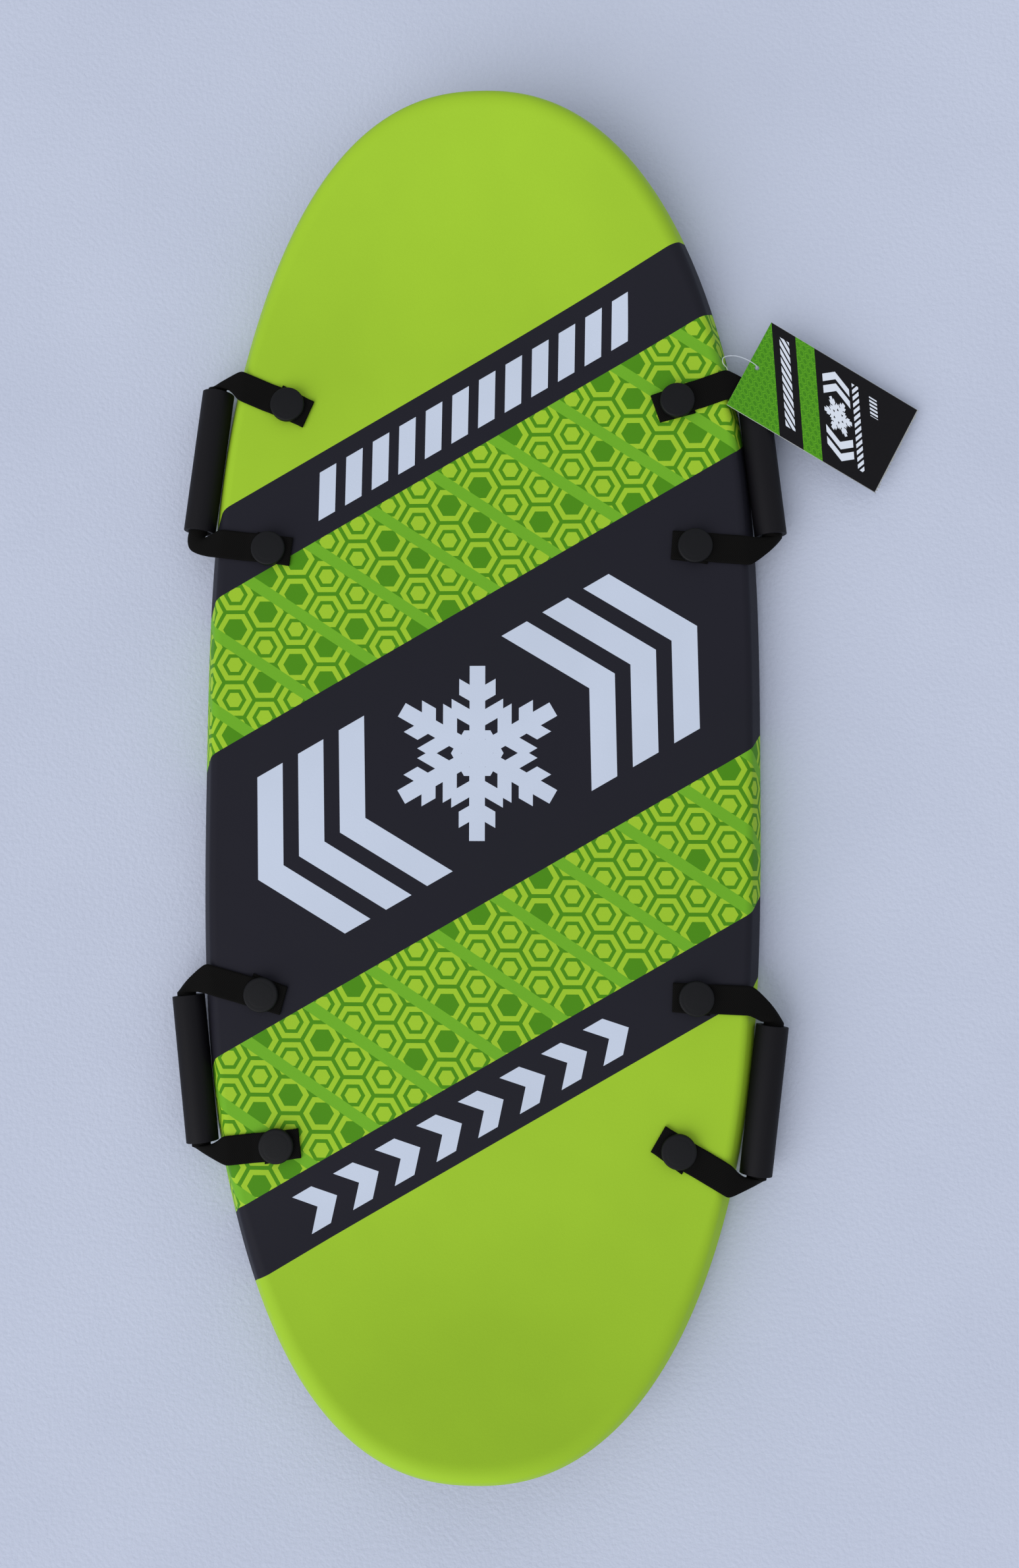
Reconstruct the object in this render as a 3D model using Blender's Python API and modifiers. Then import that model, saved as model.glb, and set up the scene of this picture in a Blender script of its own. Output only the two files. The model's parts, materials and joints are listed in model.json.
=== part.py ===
"""Twin-tip foam snow board with four webbing grab handles and a hang tag.

The board lies flat: X runs across it, Y along it towards the front tip, Z up.
The origin is the middle of the flat underside. All lengths are in metres.
"""

import math

import bmesh
import bpy
from mathutils import Matrix, Vector

# Board outline, seen from above: one rounded shape, alike at both tips. The powers set how
# full it is: 2 would make an ellipse, and more makes flatter tips or straighter sides.
board_length = 1.180
board_width = 0.492
tip_power = 2.25
side_power = 3.0
outline_steps = 96

# Board section: a flat deck, a sloping rail that is widest near the base, and upturned tips.
board_thickness = 0.040
rail_overhang = 0.012
widest_height = 0.012
base_tuck = 0.007
deck_edge_radius = 0.009
rail_radius = 0.011
deck_margin = 0.012
tip_rise = 0.060
flat_length = 0.720
skin_thickness = 0.003
slick_thickness = 0.002
slick_edge_lift = 0.0006
layer_gap = 0.0003

# Screw-together plugs: a cap with a stem on the deck, a flanged socket in the base.
cap_diameter = 0.030
cap_height = 0.005
cap_dome = 0.0004
cap_edge_radius = 0.0014
stem_diameter = 0.0094
stem_play = 0.0003
socket_wall = 0.0020
socket_length = 0.014
socket_floor = 0.0030
flange_diameter = 0.026
flange_thickness = 0.0017
coin_slot_length = 0.014
coin_slot_width = 0.0022
coin_slot_depth = 0.0009
turned_steps = 24

# Handle layout, measured along and across the board's edge at each handle.
handle_before_rise = 0.095
plug_inset = 0.0576
plug_past_grip = 0.0010
hinge_inset = 0.0135
webbing_width = 0.025
webbing_thickness = 0.0014
fold_gap = 0.00015
fold_trim_length = 0.010
tab_reach = 0.0185
tab_return = 0.0120
tab_ramp = 0.0040
tab_skew_degrees = 4.0

# Grip sleeves and the way the webbing turns into them.
grip_length = 0.127
grip_diameter = 0.028
grip_bore = 0.020
grip_edge = 0.0008
grip_steps = 28
grip_height = 0.0225
rail_gap = 0.0003
webbing_play = 0.0004
turn_start = 0.007
mouth_offset = 0.0030
turn_share = 0.60
turn_reach_share = 0.55
webbing_columns = 7
turn_rows = 5

# How far each grip has slid along its webbing towards the nearer tip, and how far past each end of the
# grip the middle of the webbing folds over the deck's edge, all as shares of the plug spacing.
handles = (
    # name, side (+1 is right), end (+1 is front), grip_shift_share, outer_fold_share, inner_fold_share
    ("left_front", -1, 1, 0.085, 0.027, 0.091),
    ("right_front", 1, 1, 0.033, 0.050, 0.107),
    ("left_rear", -1, -1, -0.053, 0.061, 0.091),
    ("right_rear", 1, -1, 0.115, 0.040, 0.150),
)

# Hang tag: a printed card with a torn far edge, on a thin plastic loop round the right front strap.
card_length = 0.153
card_width = 0.087
card_thickness = 0.0006
card_hole_diameter = 0.0040
card_hole_inset = 0.0080
card_tooth_depth = 0.0012
card_teeth = 22
card_turn_degrees = 35.0
card_tilt_degrees = 11.5
card_hole_past_leg = 0.0127
card_hole_out = 0.0290
card_hole_height = 0.0365
loop_diameter = 0.0009
loop_steps_per_point = 4
# The loop's route by hand: along the board's edge, out from the hinge line, and height, each from the card's hole.
loop_route = (
    (0.0000, 0.0000, 0.0000),
    (0.0030, -0.0024, 0.0030),
    (0.0082, -0.0105, 0.0050),
    (0.0116, -0.0200, 0.0060),
    (0.0112, -0.0283, 0.0056),
    (0.0066, -0.0292, 0.0042),
    (0.0014, -0.0257, 0.0016),
    (-0.0111, -0.0252, -0.0001),
    (-0.0221, -0.0245, 0.0004),
    (-0.0286, -0.0232, 0.0025),
    (-0.0246, -0.0177, 0.0023),
    (-0.0156, -0.0107, 0.0002),
    (-0.0040, -0.0042, -0.0030),
)

# The handles keep clear of the upturned tips, and their plugs stand just past the ends of the grip.
handle_station = flat_length / 2 - handle_before_rise
plug_spacing = grip_length + 2 * plug_past_grip

# Height of the webbing: it lies on the deck, and its top face holds the line that it folds about.
webbing_low = board_thickness + layer_gap + webbing_thickness / 2
webbing_high = webbing_low + webbing_thickness + layer_gap
fold_height = board_thickness + layer_gap + webbing_thickness
cap_seat = webbing_high + webbing_thickness / 2 + layer_gap
cutter_overrun = 0.010


def new_collection(name):
    collection = bpy.data.collections.new(name)
    bpy.context.scene.collection.children.link(collection)
    return collection


def new_material(name, colour, roughness, metallic=0.0, alpha=1.0):
    material = bpy.data.materials.new(name)
    material.use_nodes = True
    shader = material.node_tree.nodes["Principled BSDF"]
    shader.inputs["Base Color"].default_value = (*colour, 1.0)
    shader.inputs["Roughness"].default_value = roughness
    shader.inputs["Metallic"].default_value = metallic
    shader.inputs["Alpha"].default_value = alpha
    material.diffuse_color = (*colour, alpha)
    return material


def new_object(name, data, material, collection):
    thing = bpy.data.objects.new(name, data)
    collection.objects.link(thing)
    if material:
        data.materials.append(material)
    return thing


def mesh_object(name, bm, material, collection):
    mesh = bpy.data.meshes.new(name)
    bm.to_mesh(mesh)
    bm.free()
    return new_object(name, mesh, material, collection)


def cut(target, cutter, name):
    boolean = target.modifiers.new(name, "BOOLEAN")
    boolean.operation = "DIFFERENCE"
    boolean.object = cutter


def keep_place(child, parent):
    bpy.context.view_layer.update()
    child.parent = parent
    child.matrix_parent_inverse = parent.matrix_world.inverted()


def tip_lift(y):
    """How much the upturned tips raise the board at this distance along it."""
    past = max(0.0, abs(y) - flat_length / 2)
    return tip_rise * (past / ((board_length - flat_length) / 2)) ** 2


def outline_at(angle, inset):
    """A point of the outline moved in by inset, with the outline's outward direction there."""
    a, b = board_width / 2, board_length / 2
    c, s = math.cos(angle), math.sin(angle)
    u = math.copysign(abs(c) ** (2 / tip_power), c)
    v = math.copysign(abs(s) ** (2 / side_power), s)
    outward = Vector((
        math.copysign(tip_power * abs(u) ** (tip_power - 1), u) / a,
        math.copysign(side_power * abs(v) ** (side_power - 1), v) / b,
        0,
    )).normalized()
    return Vector((a * u, b * v, 0)) - outward * inset, outward


def ring(inset, height):
    """The outline moved in by inset, at this height above the base, following the upturned tips."""
    points = []
    for step in range(outline_steps):
        point, _ = outline_at(2 * math.pi * step / outline_steps, inset)
        point.z = height + tip_lift(point.y)
        points.append(point)
    return points


def line_through(start, end, inward):
    """The line from start to end moved sideways by inward, as a point and a direction."""
    direction = (end - start).normalized()
    normal = Vector((-direction.y, direction.x))
    return start + normal * inward, direction


def meet(first, second):
    """Where two lines, each a point and a direction, cross."""
    (p, d), (q, e) = first, second
    return p + d * ((q - p).cross(e) / d.cross(e))


def fillet(before, corner, after, radius, steps):
    """Points of an arc that rounds the corner."""
    inward, onward = (before - corner).normalized(), (after - corner).normalized()
    half = inward.angle(onward) / 2
    centre = corner + (inward + onward).normalized() * (radius / math.sin(half))
    start = corner + inward * (radius / math.tan(half)) - centre
    end = corner + onward * (radius / math.tan(half)) - centre
    sweep = start.angle_signed(end)
    return [centre + (Matrix.Rotation(-sweep * k / steps, 2) @ start) for k in range(steps + 1)]


def rail_profile(inward, bottom, steps):
    """The board's edge section from the deck down to the height bottom, moved in by inward.

    Each point is an inset from the widest line and a height.
    """
    top_inner = Vector((rail_overhang + deck_margin, board_thickness))
    deck_edge = Vector((rail_overhang, board_thickness))
    widest = Vector((0, widest_height))
    foot = Vector((base_tuck, 0))
    deck = line_through(top_inner, deck_edge, inward)
    upper_rail = line_through(deck_edge, widest, inward)
    lower_rail = line_through(widest, foot, inward)
    floor = (Vector((0, bottom)), Vector((1, 0)))
    start = Vector((top_inner.x, board_thickness - inward))
    edge = meet(deck, upper_rail)
    side = meet(upper_rail, lower_rail)
    end = meet(lower_rail, floor)
    points = [start]
    points += fillet(start, edge, side, deck_edge_radius - inward, steps)
    points += fillet(edge, side, end, rail_radius - inward, steps)
    return points + [end]


def loft(name, rings, material, collection):
    """A solid through rings of equal count, closed by strips that run straight across the board."""
    bm = bmesh.new()
    rows = [[bm.verts.new(point) for point in points] for points in rings]
    for upper, lower in zip(rows, rows[1:]):
        for i in range(outline_steps):
            j = (i + 1) % outline_steps
            bm.faces.new((upper[i], lower[i], lower[j], upper[j]))
    quarter = outline_steps // 4
    for row in (rows[0], rows[-1]):
        for k in range(outline_steps // 2):
            corners = [row[quarter - k], row[quarter - k - 1], row[(quarter + k + 1) % outline_steps],
                       row[(quarter + k) % outline_steps]]
            bm.faces.new(dict.fromkeys(corners))
    bmesh.ops.recalc_face_normals(bm, faces=bm.faces)
    return mesh_object(name, bm, material, collection)


def rods(name, places, radius, low, high, collection):
    """Cutting rods of one radius at each place, between two heights."""
    bm = bmesh.new()
    for place in places:
        at = Matrix.Translation((place.x, place.y, (low + high) / 2))
        bmesh.ops.create_cone(bm, cap_ends=True, segments=turned_steps, radius1=radius,
                              radius2=radius, depth=high - low, matrix=at)
    cutter = mesh_object(name, bm, None, collection)
    cutter.hide_render = True
    cutter.display_type = "WIRE"
    return cutter


def box(name, size, collection):
    """A cutting block of this length, width and height about its own middle."""
    bm = bmesh.new()
    bmesh.ops.create_cube(bm, size=1, matrix=Matrix.Diagonal((*size, 1)))
    cutter = mesh_object(name, bm, None, collection)
    cutter.hide_render = True
    cutter.display_type = "WIRE"
    return cutter


def turned(name, profile, steps, material, collection):
    """A turned solid from a profile of (radius, height) points."""
    bm = bmesh.new()
    points = [bm.verts.new((radius, 0, height)) for radius, height in profile]
    for first, second in zip(points, points[1:]):
        bm.edges.new((first, second))
    if profile[0][0] > 0:
        bm.edges.new((points[-1], points[0]))
    solid = mesh_object(name, bm, material, collection)
    screw = solid.modifiers.new("Turn", "SCREW")
    screw.steps = steps
    screw.render_steps = steps
    screw.use_merge_vertices = True
    screw.merge_threshold = 1e-6
    screw.use_smooth_shade = True
    return solid


def sheet(name, rows, material, collection):
    """Webbing: an open surface through rows of points, given its thickness on both sides."""
    bm = bmesh.new()
    grid = [[bm.verts.new(point) for point in row] for row in rows]
    for first, second in zip(grid, grid[1:]):
        for k in range(len(first) - 1):
            bm.faces.new((first[k], second[k], second[k + 1], first[k + 1]))
    webbing = mesh_object(name, bm, material, collection)
    solidify = webbing.modifiers.new("Webbing thickness", "SOLIDIFY")
    solidify.thickness = webbing_thickness
    solidify.offset = 0
    return webbing


class Handle:
    """One handle's own frame: x along the board's edge, y outwards from the fold line, z up."""

    def __init__(self, name, side, end, shift_share, outer_fold_share, inner_fold_share):
        self.name = name
        a, b = board_width / 2, board_length / 2
        share = (handle_station / b) ** side_power
        angle = math.atan2(share ** 0.5, (1 - share) ** 0.5)
        edge, outward = outline_at(angle, 0)
        mirror = Vector((side, end, 1))
        self.outward = outward * mirror
        self.along = self.outward.cross(Vector((0, 0, 1)))
        self.towards_tip = 1 if self.along.y * end > 0 else -1
        self.fold = edge * mirror - self.outward * hinge_inset
        self.fold.z = fold_height
        self.plug_line = plug_inset - hinge_inset
        self.shift = shift_share * plug_spacing
        self.past_grip = {1: outer_fold_share * plug_spacing, -1: inner_fold_share * plug_spacing}
        rotation = Matrix((self.along, self.outward, Vector((0, 0, 1)))).transposed()
        self.matrix = Matrix.Translation(self.fold) @ rotation.to_4x4()

        # The grip's axis lies beside the sloping rail, seen from the fold line.
        slope = Vector((rail_overhang, board_thickness - widest_height))
        rail_out = -slope.x * (grip_height - widest_height) / slope.y
        clear = (grip_diameter / 2 + rail_gap) * slope.length / slope.y
        self.grip_out = rail_out + clear + hinge_inset
        self.grip_drop = fold_height - grip_height
        reach = math.hypot(self.grip_out, self.grip_drop)
        self.curl_radius = grip_bore / 2 - webbing_play - webbing_thickness / 2
        self.axis_depth = webbing_thickness / 2 + self.curl_radius
        self.droop = math.asin(self.axis_depth / reach) - math.atan2(self.grip_drop, self.grip_out)
        self.axis_reach = math.sqrt(reach ** 2 - self.axis_depth ** 2)
        self.loop_matrix = self.matrix @ Matrix.Rotation(self.droop, 4, "X")

    def plug_place(self, which):
        """The middle of a plug, where which is +1 for the one nearer the tip."""
        return self.matrix @ Vector((self.tip_x(which * plug_spacing / 2), -self.plug_line, -fold_height))

    def tip_x(self, distance):
        """x of a point this far towards the tip from the handle's middle."""
        return self.towards_tip * distance

    def leg(self, which):
        """Where a strap leg crosses the fold line and how much it leans from square, away from the middle."""
        crossing = self.shift * which + grip_length / 2 + self.past_grip[which]
        return crossing, math.atan2(crossing - plug_spacing / 2, self.plug_line)

    def tab_rows(self, which):
        """The fixed end of a leg: it lies on the deck, steps up, folds under at its end and comes back."""
        crossing, lean = self.leg(which)
        sin_lean, cos_lean = math.sin(lean), math.cos(lean)
        to_plug = self.plug_line / cos_lean
        end = to_plug + tab_reach
        back = to_plug - tab_return
        bend = (webbing_high - webbing_low) / 2
        middle = (webbing_high + webbing_low) / 2
        path = [(back - 2 * tab_ramp, webbing_low, 0), (back - tab_ramp / 2, webbing_high, 0), (end, webbing_high, 0)]
        for turn in (45, 90, 135):
            angle = math.radians(turn)
            path.append((end + bend * math.sin(angle), middle + bend * math.cos(angle), 0))
        path.append((end, webbing_low, 0))
        path.append((back, webbing_low, (end - back) * math.tan(math.radians(tab_skew_degrees))))
        rows = []
        for side in (-1, 1):
            across = side * webbing_width / 2
            start = (fold_gap - across * sin_lean) / cos_lean
            line = [(start, webbing_low, 0)] + path
            rows.append([self.tab_point(which, crossing, lean, run, across + slide, height)
                         for run, height, slide in line])
        return list(zip(*rows))

    def tab_point(self, which, crossing, lean, run, across, height):
        tipward = crossing - run * math.sin(lean) + across * math.cos(lean)
        out = -run * math.cos(lean) - across * math.sin(lean)
        return Vector((self.tip_x(which * tipward), out, height - fold_height))

    def loop_rows(self, which):
        """The moving part of a leg, from the fold line to where it has curled into the grip's mouth."""
        crossing, lean = self.leg(which)
        half = webbing_width / (2 * math.cos(lean))
        mouth = self.shift * which + grip_length / 2 + mouth_offset
        curl = webbing_width / self.curl_radius
        flat = -webbing_thickness / 2
        rows = [[] for _ in range(turn_rows + 3)]
        for column in range(webbing_columns):
            share = column / (webbing_columns - 1)
            centre = Vector((crossing + half * (1 - 2 * share), 0, flat))
            slant = Vector((math.tan(lean), 1, 0))
            start = centre + slant * turn_start
            angle = curl * (0.5 - share)
            curled = Vector((mouth, self.axis_reach + self.curl_radius * math.sin(angle),
                             flat - self.curl_radius * (1 - math.cos(angle))))
            pull = turn_share * min(1, max(0, (start.x - mouth) / webbing_width))
            control = Vector((mouth + pull * (start.x - mouth),
                              start.y + turn_reach_share * (curled.y - start.y), flat))
            rows[0].append(centre - slant * webbing_thickness)
            rows[1].append(start)
            for row in range(1, turn_rows + 1):
                u = row / turn_rows
                point = start * (1 - u) ** 2 + control * (2 * u * (1 - u)) + curled * u ** 2
                rows[row + 1].append(point)
            rows[-1].append(curled - Vector((mouth_offset, 0, 0)))
        return [[Vector((self.tip_x(which * point.x), point.y, point.z)) for point in row] for row in rows]


def build_board(parts, cutters, materials, all_handles):
    """Core, printed skin and slippery base, drilled for the plugs."""
    core_bottom = slick_thickness + layer_gap
    outer = rail_profile(0, core_bottom, 3)
    inner = rail_profile(skin_thickness, core_bottom, 2)
    skin = loft("deck_skin", [ring(p.x, p.y) for p in outer + inner[::-1]], materials["skin"], parts)
    core_points = rail_profile(skin_thickness + layer_gap, core_bottom, 2)
    core = loft("foam_core", [ring(p.x, p.y) for p in core_points], materials["foam"], parts)
    lower_rail = line_through(Vector((0, widest_height)), Vector((base_tuck, 0)), 0)
    slick_points = [meet(lower_rail, (Vector((0, height)), Vector((1, 0))))
                    for height in (slick_thickness, slick_edge_lift)]
    slick_points.append(Vector((slick_points[-1].x + slick_edge_lift, 0)))
    slick = loft("slick_base", [ring(p.x, p.y) for p in slick_points], materials["slick"], parts)

    places = [handle.plug_place(which) for handle in all_handles for which in (1, -1)]
    stem_hole = stem_diameter / 2 + stem_play
    stems = rods("stem_holes", places, stem_hole, -cutter_overrun, board_thickness + cutter_overrun, cutters)
    socket_hole = stem_hole + socket_wall + layer_gap
    sockets = rods("socket_holes", places, socket_hole, -cutter_overrun,
                   layer_gap + socket_length + layer_gap, cutters)
    flanges = rods("flange_holes", places, flange_diameter / 2 + layer_gap, -cutter_overrun,
                   slick_thickness + cutter_overrun, cutters)
    cut(skin, stems, "Stem holes")
    cut(core, stems, "Stem holes")
    cut(core, sockets, "Socket holes")
    cut(slick, flanges, "Flange holes")
    return stems


def build_plug(name, place, lean, parts, cutters, materials):
    """A cap whose stem screws into a flanged socket, flush in the base."""
    radius = cap_diameter / 2
    stem = stem_diameter / 2
    stem_end = layer_gap + socket_floor + layer_gap - cap_seat
    edge = radius - cap_edge_radius
    cap_profile = [(0, cap_height), (edge, cap_height - cap_dome)]
    for turn in (45, 90):
        angle = math.radians(turn)
        cap_profile.append((edge + cap_edge_radius * math.sin(angle),
                            cap_height - cap_dome - cap_edge_radius * (1 - math.cos(angle))))
    cap_profile += [(radius, 0), (stem, 0), (stem, stem_end), (0, stem_end)]
    cap = turned("plug_cap_" + name, cap_profile, turned_steps, materials["moulded"], parts)
    cap.location = (place.x, place.y, cap_seat)

    bore = stem + stem_play
    outside = bore + socket_wall
    base_profile = [(0, socket_floor), (bore, socket_floor), (bore, socket_length), (outside, socket_length),
                    (outside, flange_thickness), (flange_diameter / 2, flange_thickness),
                    (flange_diameter / 2, 0), (0, 0)]
    base = turned("plug_base_" + name, base_profile, turned_steps, materials["moulded"], parts)
    base.location = (place.x, place.y, layer_gap)
    slot = box("coin_slot_" + name, (coin_slot_length, coin_slot_width, 2 * coin_slot_depth), cutters)
    slot.location = base.location
    slot.rotation_euler.z = lean
    cut(base, slot, "Coin slot")


def build_handle(handle, stems, parts, cutters, materials):
    """Two fixed strap ends, and a strap loop that swings about the deck's edge and carries the grip."""
    for which, word in ((1, "outer"), (-1, "inner")):
        name = handle.name + "_" + word
        tab = sheet("strap_end_" + name, handle.tab_rows(which), materials["webbing"], parts)
        tab.matrix_world = handle.matrix
        cut(tab, stems, "Stem hole")
        build_plug(name, handle.plug_place(which), handle.leg(which)[1], parts, cutters, materials)

    swing = bpy.data.objects.new("swing_" + handle.name, None)
    parts.objects.link(swing)
    swing.matrix_world = handle.loop_matrix
    rows = handle.loop_rows(1) + handle.loop_rows(-1)[::-1]
    strap = sheet("strap_loop_" + handle.name, rows, materials["webbing"], parts)
    strap.matrix_world = handle.loop_matrix
    keep_place(strap, swing)
    # The strap's own end is upright while it hangs, so nothing jams when it swings up.
    trim = box("fold_trim_" + handle.name, (2 * plug_spacing, fold_trim_length, fold_trim_length), cutters)
    trim.matrix_world = handle.matrix @ Matrix.Translation((0, fold_gap - fold_trim_length / 2, 0))
    cut(strap, trim, "Fold trim")

    outside, bore, half = grip_diameter / 2, grip_bore / 2, grip_length / 2
    profile = [(bore, half - grip_edge), (bore + grip_edge, half), (outside - grip_edge, half),
               (outside, half - grip_edge), (outside, grip_edge - half), (outside - grip_edge, -half),
               (bore + grip_edge, -half), (bore, grip_edge - half)]
    grip = turned("grip_" + handle.name, profile, grip_steps, materials["grip"], parts)
    middle = Vector((handle.tip_x(handle.shift), handle.axis_reach, -handle.axis_depth))
    grip.matrix_world = handle.loop_matrix @ Matrix.Translation(middle) @ Matrix.Rotation(math.pi / 2, 4, "Y")
    keep_place(grip, swing)
    return swing


def build_tag(handle, swing, parts, materials):
    """The card turns on the plastic loop that passes through its hole and round the strap."""
    hole_along = handle.leg(1)[0] + card_hole_past_leg
    hole = handle.matrix @ Vector((handle.tip_x(hole_along), card_hole_out, 0))
    hole.z = card_hole_height
    curve = bpy.data.curves.new("tag_card", "CURVE")
    curve.dimensions = "2D"
    curve.fill_mode = "BOTH"
    curve.extrude = card_thickness / 2
    near, far, half = -card_hole_inset, card_length - card_hole_inset, card_width / 2
    outline = [(near, half), (near, -half)]
    for tooth in range(2 * card_teeth + 1):
        depth = card_tooth_depth * (tooth % 2)
        outline.append((far - depth, -half + card_width * tooth / (2 * card_teeth)))
    radius = card_hole_diameter / 2
    rim = [(radius * math.cos(2 * math.pi * k / turned_steps), radius * math.sin(2 * math.pi * k / turned_steps))
           for k in range(turned_steps)]
    for points in (outline, rim):
        spline = curve.splines.new("POLY")
        spline.points.add(len(points) - 1)
        for target, (x, y) in zip(spline.points, points):
            target.co = (x, y, 0, 1)
        spline.use_cyclic_u = True
    card = new_object("tag_card", curve, materials["card"], parts)
    # It slopes down outwards over the grip, and points away from the tip.
    tilt = Matrix.Rotation(-math.radians(card_tilt_degrees), 4, "X")
    turn = Matrix.Rotation(math.radians(90 - card_turn_degrees), 4, "Z")
    card.matrix_world = Matrix.Translation(hole - handle.fold) @ handle.matrix @ tilt @ turn
    keep_place(card, swing)

    line = bpy.data.curves.new("tag_loop", "CURVE")
    line.dimensions = "3D"
    line.bevel_depth = loop_diameter / 2
    line.bevel_resolution = 2
    count = len(loop_route)
    points = []
    for i in range(count):
        a, b, c, d = (Vector(loop_route[(i + k) % count]) for k in (-1, 0, 1, 2))
        for step in range(loop_steps_per_point):
            u = step / loop_steps_per_point
            point = b * 2 + (c - a) * u + (a * 2 - b * 5 + c * 4 - d) * u ** 2
            points.append((point + (b * 3 - a - c * 3 + d) * u ** 3) / 2)
    spline = line.splines.new("POLY")
    spline.points.add(len(points) - 1)
    for target, point in zip(spline.points, points):
        target.co = (handle.tip_x(point.x), point.y, point.z, 1)
    spline.use_cyclic_u = True
    loop = new_object("tag_loop", line, materials["clear"], parts)
    loop.matrix_world = Matrix.Translation(hole - handle.fold) @ handle.matrix
    keep_place(loop, swing)


def main():
    for thing in list(bpy.data.objects):
        bpy.data.objects.remove(thing)
    parts = new_collection("snow_board")
    cutters = new_collection("cutters")
    materials = {
        "skin": new_material("Printed skin", (0.33, 0.62, 0.035), 0.5),
        "foam": new_material("Foam", (0.86, 0.86, 0.84), 0.9),
        "slick": new_material("Slick base", (0.03, 0.03, 0.035), 0.3),
        "moulded": new_material("Moulded plug", (0.016, 0.016, 0.019), 0.5),
        "webbing": new_material("Webbing", (0.006, 0.006, 0.006), 0.85),
        "grip": new_material("Grip", (0.018, 0.018, 0.022), 0.6),
        "card": new_material("Card", (0.06, 0.30, 0.03), 0.45),
        "clear": new_material("Clear plastic", (0.85, 0.87, 0.90), 0.15, alpha=0.6),
    }
    all_handles = [Handle(*values) for values in handles]
    stems = build_board(parts, cutters, materials, all_handles)
    for handle in all_handles:
        swing = build_handle(handle, stems, parts, cutters, materials)
        if handle.name == "right_front":
            build_tag(handle, swing, parts, materials)
    for thing in parts.objects:
        if thing.type == "MESH" and "Turn" not in thing.modifiers:
            thing.data.shade_smooth()
            thing.data.set_sharp_from_angle(angle=math.radians(35))


main()
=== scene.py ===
import math

import bmesh
import bpy
from mathutils import Matrix, Vector
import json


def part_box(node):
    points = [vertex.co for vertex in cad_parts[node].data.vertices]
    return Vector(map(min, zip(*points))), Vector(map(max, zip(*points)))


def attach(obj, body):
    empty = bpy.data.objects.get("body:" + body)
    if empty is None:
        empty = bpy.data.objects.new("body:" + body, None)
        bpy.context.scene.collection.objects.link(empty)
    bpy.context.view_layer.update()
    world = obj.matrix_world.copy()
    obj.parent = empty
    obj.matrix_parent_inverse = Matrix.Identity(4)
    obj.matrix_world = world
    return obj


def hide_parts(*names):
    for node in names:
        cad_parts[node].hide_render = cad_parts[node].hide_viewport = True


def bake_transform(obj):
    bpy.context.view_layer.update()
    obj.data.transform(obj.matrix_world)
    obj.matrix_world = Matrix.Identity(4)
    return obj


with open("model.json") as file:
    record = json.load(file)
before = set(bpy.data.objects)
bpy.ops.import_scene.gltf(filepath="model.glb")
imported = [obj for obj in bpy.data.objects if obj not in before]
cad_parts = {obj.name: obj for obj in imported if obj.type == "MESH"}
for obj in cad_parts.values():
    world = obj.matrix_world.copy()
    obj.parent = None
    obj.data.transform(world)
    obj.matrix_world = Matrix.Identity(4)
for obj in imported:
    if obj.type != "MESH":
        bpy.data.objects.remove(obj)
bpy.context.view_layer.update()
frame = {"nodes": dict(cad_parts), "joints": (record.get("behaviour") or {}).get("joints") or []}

# The viewpoint: a camera held flat over the board's middle at chest height, tilted a few degrees
# from square, on an overcast day.
sensor_millimetres, lens_millimetres, nearest_seen = 36, 34.79, 0.01
camera_place = Vector((0.0939, -0.0991, 1.3432))
camera_tilt = Vector((0.0668, 0.0515, 0.0035))


def placed(name, data):
    """A new object in the scene, with this mesh, curve, camera or light as its data."""
    made = bpy.data.objects.new(name, data)
    bpy.context.scene.collection.objects.link(made)
    return made


view = placed("view", bpy.data.cameras.new("view"))
view.data.sensor_width = sensor_millimetres
view.data.lens = lens_millimetres
view.data.clip_start = nearest_seen
view.matrix_world = Matrix.Translation(camera_place) @ Matrix.Rotation(camera_tilt.length, 4, camera_tilt)
bpy.context.scene.camera = view
bpy.context.scene.view_settings.view_transform = "Standard"

# The core: a block of closed-cell foam beads under the skin, seen only where a layer is lifted.
# Its cells are about 3 mm across and slightly sunk between one another.
foam_cells_per_metre, foam_dent = 330.0, 0.0004
foam_pale, foam_shade = (0.90, 0.90, 0.88, 1), (0.74, 0.74, 0.71, 1)


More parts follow.
